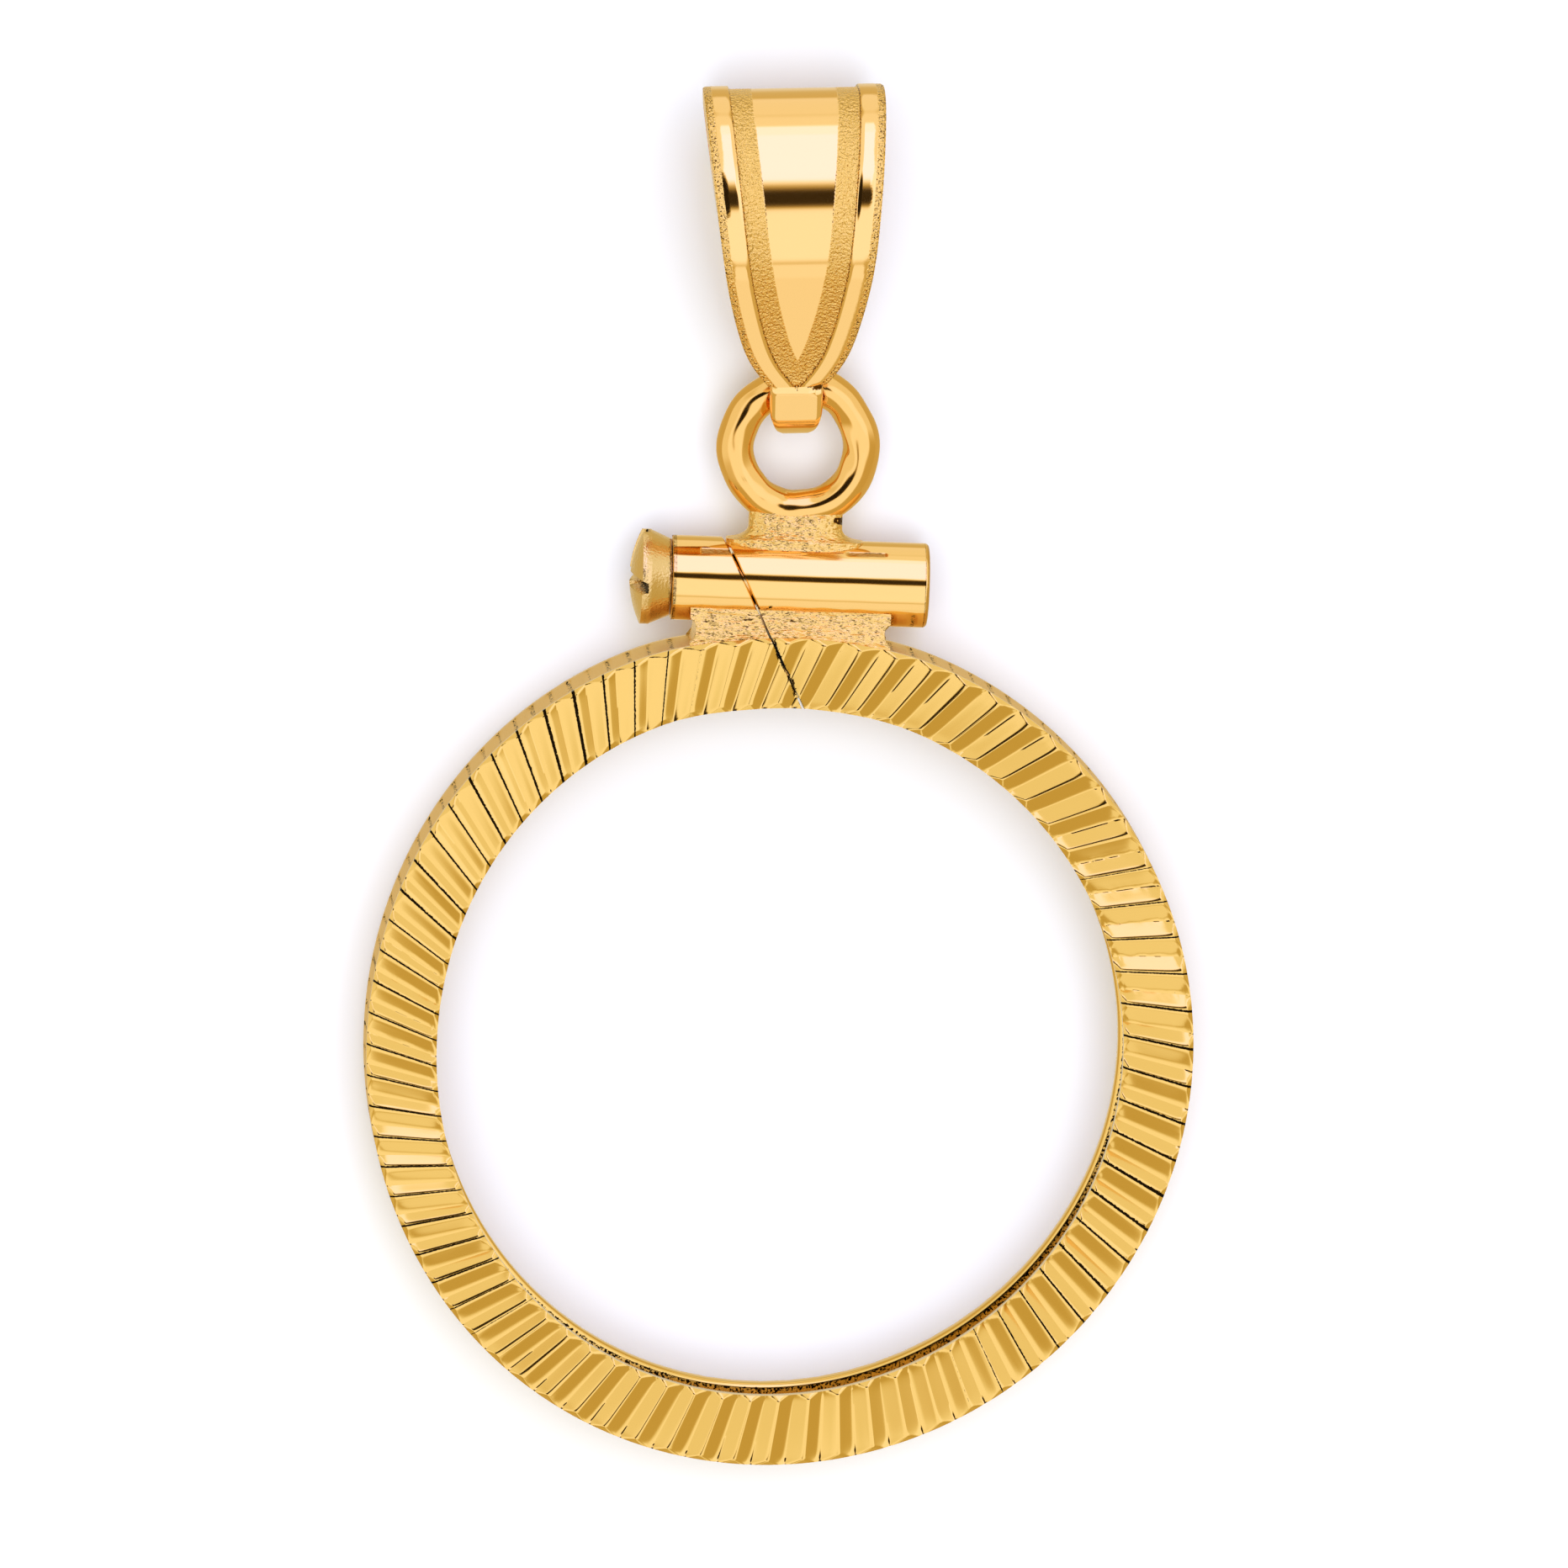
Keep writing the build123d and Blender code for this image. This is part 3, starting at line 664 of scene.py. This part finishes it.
def makeScrewHead(s):
    # A profile of radius against x, swept round the barrels' axis: from the middle of the dome, x = face
    # - dome (1 - r^2), out to the rim, and back down the cone to the shank. The cross slot sinks the dome
    # to its floor where a point is near either slot's middle.
    rim = s["seat"] - s["cone"]
    face = rim - s["rim"]
    domeRadius = s["radius"] * np.sin(np.linspace(0, math.pi / 2, s["headRows"]))
    domeX = face - s["dome"] * (1 - (domeRadius / s["radius"]) ** 2)
    radius = np.concatenate([domeRadius, [s["radius"], s["radius"], s["radius"] - s["rimBreak"], s["foot"],
                                          s["shank"]]])
    x = np.concatenate([domeX, [face + s["rimEdge"], rim - s["rimEdge"], rim, s["seat"], s["seat"]]])
    angle = fullTurn(s["headAround"])
    y, z = radius[:, None] * np.cos(angle), radius[:, None] * np.sin(angle)
    turn = math.radians(s["slotTurn"])
    half, edge = s["slotWidth"] / 2, s["slotEdge"]
    fromSlots = (y * math.cos(turn) + z * math.sin(turn), z * math.cos(turn) - y * math.sin(turn))
    inSlot = np.maximum(*(1 - smoothStep(half - edge, half + edge, np.abs(away)) for away in fromSlots))
    onDome = (np.arange(len(x)) <= len(domeX))[:, None]
    floor = face - s["dome"] + s["slotDepth"]
    sunk = np.maximum(x[:, None], x[:, None] * (1 - inSlot) + floor * inSlot)
    points = np.stack([np.where(onDome, sunk, x[:, None]), s["y"] + y, z], axis=-1)
    inSlot = inSlot * onDome
    # painted shade darkens the slot
    marks = {"worked": np.maximum(s["headWorked"], inSlot), "soilAndShade": s["slotShade"] * inSlot}
    return makePiece("screw_head", "turnedGold", points, marks, firstOpen=True)


def makeShank(s):
    # A tube whose radius falls and climbs once in each pitch, the fall shifted by the share of a turn.
    x, angle = np.meshgrid(np.linspace(s["seat"], s["tip"], s["shankRows"]), fullTurn(s["shankAround"]),
                           indexing="ij")
    turnShare = ((x - s["tip"]) / s["pitch"] + angle / (2 * math.pi)) % 1
    cut = (1 - np.abs(2 * turnShare - 1)) * s["threadDepth"]
    threadStart = s["tip"] - s["threadLength"]
    radius = s["shank"] - cut * smoothStep(threadStart, threadStart + s["runOut"], x)
    points = np.stack([x, s["y"] + radius * np.cos(angle), radius * np.sin(angle)], axis=-1)
    return makePiece("screw_shank", "turnedGold", points, {})


screwHead = makeScrewHead(screw)
screwShank = makeShank(screw)
for piece in (screwHead, screwShank):
    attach(piece, "screw_body")
    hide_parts("screw")

# the bail; along its legs 0 is the hinge and up is towards the fold
bail = {
    "thickness": 0.36, "length": 4.54, "foldRadius": 2.30, "tongueRadius": 1.045, "tongueDrop": 0.05,
    "foldShift": 0.58,  # how much longer than round the fold is in front
    "belly": 0.15,  # how far the front leg bulges
    "halfWidth": 1.98,
    # share of the way from the top to the seam, share of the half width there
    "taper": ((0.0, 1.0), (0.305, 0.899), (0.611, 0.768), (0.763, 0.662), (0.916, 0.477)),
    "seamAt": 0.32, "seamWidth": 0.05, "seamDepth": 0.14,
    "seamNarrow": 0.6, "seamWiden": (0.2, 0.5),  # its width's share at the left, x over which it widens
    "tongueWidth": 1.15, "tongueEnd": 0.36, "tongueShoulder": -0.28, "tongueRound": 0.10,
    # distances from the strip's edge: the blasted border, the polished rail, the blasted band inside it
    "border": 0.17, "rail": 0.55, "satin": 1.04,
    "recess": 0.07, "recessEdge": (-0.01, 0.03), "borderDrop": 0.008, "borderEdge": 0.015,
    "edgeDrop": 0.03, "edgeRound": 0.05,
    "acrossEdge": (0, 0.015, 0.04, 0.10, 0.155, 0.17, 0.185, 0.30, 0.45, 0.53, 0.55, 0.57, 0.59, 0.80, 1.02,
                   1.04, 1.06),
    "acrossMiddle": 11, "onFold": 121, "onTongue": 81, "onLeg": 61,
    "insideAcross": (1, 0.5, 0, -0.5, -1),  # shares of the half width
    "borderWorked": 0.75, "insideWorked": 0.3, "workedEdge": 0.02,
    "stepAt": 0.01, "stepReach": 0.025,  # the painted shade line at the foot of the rail
    # painted shade at the rail's foot and in the seam's slit; the blasted border and band have real dark
    # specks
    "stepShade": 0.60, "borderSoil": 0.44, "blastSoil": 0.22, "seamShade": 0.9,
    "hingeX": -0.23, "hingeY": 14.61, "lean": 3.0, "rest": 14.67,  # the last two in degrees
}


def naturalSpline(xs, ys, at):
    # Cubics through the points that meet with the same slope and curvature, with no curvature at both
    # ends: the middle coefficients solve h0 c0 + 2 (h0 + h1) c1 + h1 c2 = 3 (slope1 - slope0) at each
    # inner point.
    count = len(xs)
    h = np.diff(xs)
    slopes = np.diff(ys) / h
    system = np.eye(count)
    right = np.zeros(count)
    for i in range(1, count - 1):
        system[i, i - 1:i + 2] = h[i - 1], 2 * (h[i - 1] + h[i]), h[i]
        right[i] = 3 * (slopes[i] - slopes[i - 1])
    c = np.linalg.solve(system, right)
    i = np.clip(np.searchsorted(xs, at) - 1, 0, count - 2)
    t = at - xs[i]
    slope = slopes[i] - h[i] * (2 * c[i] + c[i + 1]) / 3
    return ys[i] + slope * t + c[i] * t ** 2 + (c[i + 1] - c[i]) / (3 * h[i]) * t ** 3


def bailOutline(s):
    # The side outline and its normals, as (along, up) pairs: round the fold's circle, down the back leg,
    # round the tongue's circle and up the front leg. A leg touches both circles, so its normal is turned
    # from straight by the arcsine of the difference of the radii over the distance of the centres. In
    # front the fold is stretched along the strip.
    narrowing = s["foldRadius"] - s["tongueRadius"]
    high, highFront = np.array([s["length"], 0.0]), np.array([s["length"] - s["foldShift"], 0.0])
    low = np.array([-s["tongueDrop"], 0.0])
    frontTurn = math.pi / 2 + math.asin(narrowing / (highFront[0] - low[0]))
    backTurn = -math.pi / 2 - math.asin(narrowing / (high[0] - low[0]))
    legShare = np.linspace(0, 1, s["onLeg"])[1:-1, None]

    def bend(fromTurn, toTurn, count):
        # unit normals at even turns
        turn = np.linspace(fromTurn, toTurn, count)
        return np.stack([np.cos(turn), np.sin(turn)], axis=1)

    def leg(turn, start, startRadius, end, endRadius):
        # straight from one circle to the other
        n = bend(turn, turn, 1)
        return (start + n * startRadius) * (1 - legShare) + (end + n * endRadius) * legShare

    fold = bend(frontTurn, backTurn, s["onFold"])
    tongue = bend(backTurn, frontTurn - 2 * math.pi, s["onTongue"])
    foldPlace = np.where(fold[:, 1:] > 0, highFront, high) + fold * s["foldRadius"]
    foldPlace[:, 0] += s["foldShift"] * np.clip(fold[:, 0], 0, None) * (fold[:, 1] > 0)
    backLeg = leg(backTurn, high, s["foldRadius"], low, s["tongueRadius"])
    frontLeg = leg(frontTurn, low, s["tongueRadius"], highFront, s["foldRadius"])
    place = np.concatenate([foldPlace, backLeg, low + tongue * s["tongueRadius"], frontLeg])
    normal = np.concatenate([fold, bend(backTurn, backTurn, len(legShare)), tongue,
                             bend(frontTurn, frontTurn, len(legShare))])
    return place, normal


def bailHalfWidth(s, along):
    # Half the strip's width: a spline through the taper's points down to the seam, the tongue's width
    # below it, and from the tongue's shoulder down a quarter ellipse to the tongue's end.
    top = s["length"] + s["foldRadius"]
    bottom = -s["tongueRadius"] - s["tongueDrop"]
    down, wide = np.array(s["taper"]).T
    rows = np.append(top - (top - s["seamAt"]) * down, s["seamAt"])[::-1]
    widths = np.append(wide * s["halfWidth"], s["tongueWidth"] / 2)[::-1]
    half = np.where(along < s["seamAt"], s["tongueWidth"] / 2, naturalSpline(rows, widths, along))
    below = np.clip((s["tongueShoulder"] - along) / (s["tongueShoulder"] - bottom), 0, 1)
    return half - (s["tongueWidth"] - s["tongueEnd"]) / 2 * (1 - np.sqrt(1 - below ** 2))


def makeBail(s):
    # Each point of the outline carries a flat section: across the strip by distances from its edge, and
    # through it by the relief and the thickness, both along the outline's normal. The relief is the
    # recess inside the rails, the drop at the border and the edge, the seam's slit and the tongue's
    # rounded edges. The whole is then turned up by rest and sideways by lean.
    place, normal = bailOutline(s)
    top = s["length"] + s["foldRadius"]
    upLeg = np.clip((place[:, :1] - s["seamAt"]) / (top - s["seamAt"]), 0, 1)
    inFront = place[:, 1:] > 0
    place = place + normal * s["belly"] * np.sin(math.pi * upLeg) ** 2 * inFront
    along = place[:, :1]
    half = bailHalfWidth(s, place[:, 0])[:, None]
    left = -np.maximum(half - np.array(s["acrossEdge"]), 0)
    middle = left[:, -1:] * np.linspace(1, -1, s["acrossMiddle"])[1:-1]
    across = np.concatenate([left, middle, -left[:, ::-1]], axis=1)
    fromEdge = half - np.abs(across)
    isLeg = along > s["seamAt"]

    inRail = smoothStep(*(s["rail"] + edge for edge in s["recessEdge"]), fromEdge)
    pastBorder = smoothStep(s["border"] - s["borderEdge"], s["border"] + s["borderEdge"], fromEdge)
    sink = s["recess"] * inRail * isLeg + s["edgeDrop"] * (1 - smoothStep(0, s["edgeRound"], fromEdge))
    sink += s["borderDrop"] * (1 - pastBorder) * isLeg
    slitWidth = s["seamWidth"] * (s["seamNarrow"] + smoothStep(*s["seamWiden"], across))
    slit = s["seamDepth"] * np.exp(-((along - s["seamAt"]) / slitWidth) ** 2) * inFront
    fromRound = 1 - np.clip(fromEdge / s["tongueRound"], 0, 1)
    sink += slit + s["tongueRound"] * (1 - np.sqrt(1 - fromRound ** 2)) * ~isLeg

    insideAcross = half * s["insideAcross"]
    depth = np.concatenate([sink, np.full(insideAcross.shape, s["thickness"])], axis=1)
    x = np.concatenate([across, insideAcross], axis=1)
    flat = place[:, None, :] - depth[..., None] * normal[:, None, :]
    rest, lean = math.radians(s["rest"]), math.radians(s["lean"])
    y = flat[..., 0] * math.cos(rest) - flat[..., 1] * math.sin(rest)
    z = flat[..., 0] * math.sin(rest) + flat[..., 1] * math.cos(rest)
    points = np.stack([s["hingeX"] + x * math.cos(lean) - y * math.sin(lean),
                       s["hingeY"] + x * math.sin(lean) + y * math.cos(lean), z], axis=-1)

    soft = s["workedEdge"]
    onBorder = 1 - smoothStep(s["border"] - soft, s["border"] + soft, fromEdge)
    onBlast = inRail * (1 - smoothStep(s["satin"] - soft, s["satin"] + soft, fromEdge))
    onStep = np.exp(-((fromEdge - s["rail"] - s["stepAt"]) / s["stepReach"]) ** 2)
    worked = np.maximum(s["borderWorked"] * onBorder, onBlast) * isLeg
    soils = (s["stepShade"] * onStep, s["borderSoil"] * onBorder, s["blastSoil"] * onBlast)
    # painted shade darkens the seam's slit
    soilAndShade = np.maximum(np.maximum.reduce(soils) * isLeg, s["seamShade"] * (slit > s["seamDepth"] / 2))
    marks = {"worked": np.concatenate([worked, np.full(insideAcross.shape, s["insideWorked"])], axis=1),
             "soilAndShade": np.concatenate([soilAndShade, np.zeros(insideAcross.shape)], axis=1)}
    return makePiece("bail_strip", "blastedStripGold", points, marks, closed=True, weld=5e-7)


bailPiece = makeBail(bail)
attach(bailPiece, "bail_body")
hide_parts("bail")


# the studio: a white tent, a bright panel beyond the bail, a dimmer near and right side, and the dark
# camera in the middle; azimuths from +X towards +Y, tilts from straight above, both in degrees
studio = {
    "dim": 0.64, "side": 0.98, "sideAzimuth": 107.0, "sideSoft": (-0.42, 0.02),
    "dome": 1.14, "domeTilt": (38.0, 50.0),
    # tilts where each begins and is full, brightness
    "grounds": ((86.0, 92.0, 0.68), (150.0, 165.0, 0.80)),
    # azimuth, tilt, degrees from there that are full, degrees where it ends, brightness
    "patches": ((127.0, 64.0, 8.0, 24.0, 0.86), (90.0, 112.0, 14.0, 22.0, 0.96),
                (88.0, 60.0, 28.0, 40.0, 0.99), (86.0, 32.0, 8.0, 13.0, 1.37),
                (87.0, 43.0, 5.0, 9.0, 1.37), (88.0, 52.0, 4.0, 8.0, 1.37), (88.0, 60.0, 4.0, 8.0, 1.37),
                (88.0, 67.0, 4.0, 8.0, 1.37), (89.0, 72.0, 4.0, 7.0, 1.34), (30.0, 34.0, 12.0, 24.0, 1.22),
                (275.0, 56.0, 7.0, 11.0, 1.03), (275.0, 66.0, 8.0, 12.0, 1.03),
                (272.0, 77.0, 9.0, 14.0, 0.98), (134.0, 18.0, 13.0, 19.0, 0.02),
                (67.0, 13.0, 4.0, 9.0, 0.04)),
    # brightness, colour that the light has there: warm where it is dim, cool where it is bright
    "tones": ((0.0, (0.0, 0.0, 0.0)), (0.105, (0.105, 0.071, 0.03)), (0.347, (0.347, 0.251, 0.09)),
              (0.57, (0.57, 0.44, 0.15)), (0.70, (0.70, 0.60, 0.33)), (0.87, (0.87, 0.81, 0.66)),
              (1.0, (1.0, 1.0, 1.0)), (1.15, (1.15, 1.18, 1.4)), (1.3, (1.3, 1.32, 1.9)),
              (1.4, (1.4, 1.42, 3.2))),
    "brightest": 1.4,
}


def vectorTo(azimuth, tilt):
    # unit vector: sin tilt cos azimuth, sin tilt sin azimuth, cos tilt
    a, t = math.radians(azimuth), math.radians(tilt)
    return (math.sin(t) * math.cos(a), math.sin(t) * math.sin(a), math.cos(t))


def cosine(degrees):
    # of an angle in degrees
    return math.cos(math.radians(degrees))


def makeWorld(s):
    # A brightness for each direction and then a colour for each brightness. The brightness starts dim and
    # is mixed, layer after layer, towards each layer's own by a smooth step of the cosine of the angle to
    # its axis.
    world = bpy.data.worlds.new("studio")
    bpy.context.scene.world = world
    world.use_nodes = True
    tree = world.node_tree
    direction = addNode(tree, "ShaderNodeTexCoord").outputs["Generated"]
    above, below = (0, 0, 1), (0, 0, -1)
    dome, domeEnd = s["domeTilt"]
    layers = [(vectorTo(s["sideAzimuth"], 90), *s["sideSoft"], s["side"]),
              (above, cosine(domeEnd), cosine(dome), s["dome"])]
    layers += [(below, -cosine(begins), -cosine(full), amount) for begins, full, amount in s["grounds"]]
    layers += [(vectorTo(azimuth, tilt), cosine(ends), cosine(full), amount)
               for azimuth, tilt, full, ends, amount in s["patches"]]
    value = s["dim"]
    for axis, starts, full, amount in layers:
        dot = addNode(tree, "ShaderNodeVectorMath", {0: direction, 1: axis}, operation="DOT_PRODUCT")
        share = addNode(tree, "ShaderNodeMapRange", {"Value": dot.outputs["Value"], "From Min": starts,
                                                     "From Max": full}, interpolation_type="SMOOTHSTEP")
        value = addNode(tree, "ShaderNodeMix", {0: share.outputs["Result"], 2: value, 3: amount},
                        data_type="FLOAT").outputs[0]
    scaled = addNode(tree, "ShaderNodeMath", {0: value, 1: s["brightest"]}, operation="DIVIDE")
    ramp = addNode(tree, "ShaderNodeValToRGB", {"Fac": scaled.outputs[0]})
    elements = ramp.color_ramp.elements
    elements.remove(elements[-1])
    for count, (at, color) in enumerate(s["tones"]):
        element = elements.new(at / s["brightest"]) if count else elements[0]
        element.position = at / s["brightest"]
        element.color = color + (1.0,)
    tree.links.new(ramp.outputs["Color"], tree.nodes["Background"].inputs["Color"])


makeWorld(studio)
print("studio made")

# the paper that it lies on, and the light that washes the paper out to white
room = {
    "paperHalf": 0.4, "paperZ": -0.00115, "paper": "#EEF2F5", "paperRoughness": 0.9,  # m
    "softboxSize": 0.5, "softboxWatts": 2.2, "softboxHeight": 0.6,  # m
}


def makeFloor(s):
    # a flat square, z = paperZ
    h, z = s["paperHalf"], s["paperZ"]
    mesh = bpy.data.meshes.new("floor")
    mesh.from_pydata([(-h, -h, z), (h, -h, z), (h, h, z), (-h, h, z)], [], [(0, 1, 2, 3)])
    floor = bpy.data.objects.new("floor", mesh)
    bpy.context.collection.objects.link(floor)
    # matt coated paper: an even pale ground with no highlight
    paper = bpy.data.materials.new("mattPaper")
    paper.use_nodes = True
    shader = paper.node_tree.nodes["Principled BSDF"]
    shader.inputs["Base Color"].default_value = linear(s["paper"])
    shader.inputs["Roughness"].default_value = s["paperRoughness"]
    mesh.materials.append(paper)
    floor.visible_glossy = False  # the gold mirrors the tent's dim ground instead
    return floor


def makeSoftbox(s):
    # a square lamp straight above
    light = bpy.data.lights.new("softbox", "AREA")
    light.size = s["softboxSize"]
    light.energy = s["softboxWatts"]
    softbox = bpy.data.objects.new("softbox", light)
    softbox.location = (0, 0, s["softboxHeight"])
    softbox.visible_glossy = False  # it only lights the paper; the gold mirrors the tent
    bpy.context.collection.objects.link(softbox)


floorObject = makeFloor(room)
makeSoftbox(room)
print("floor and softbox made")
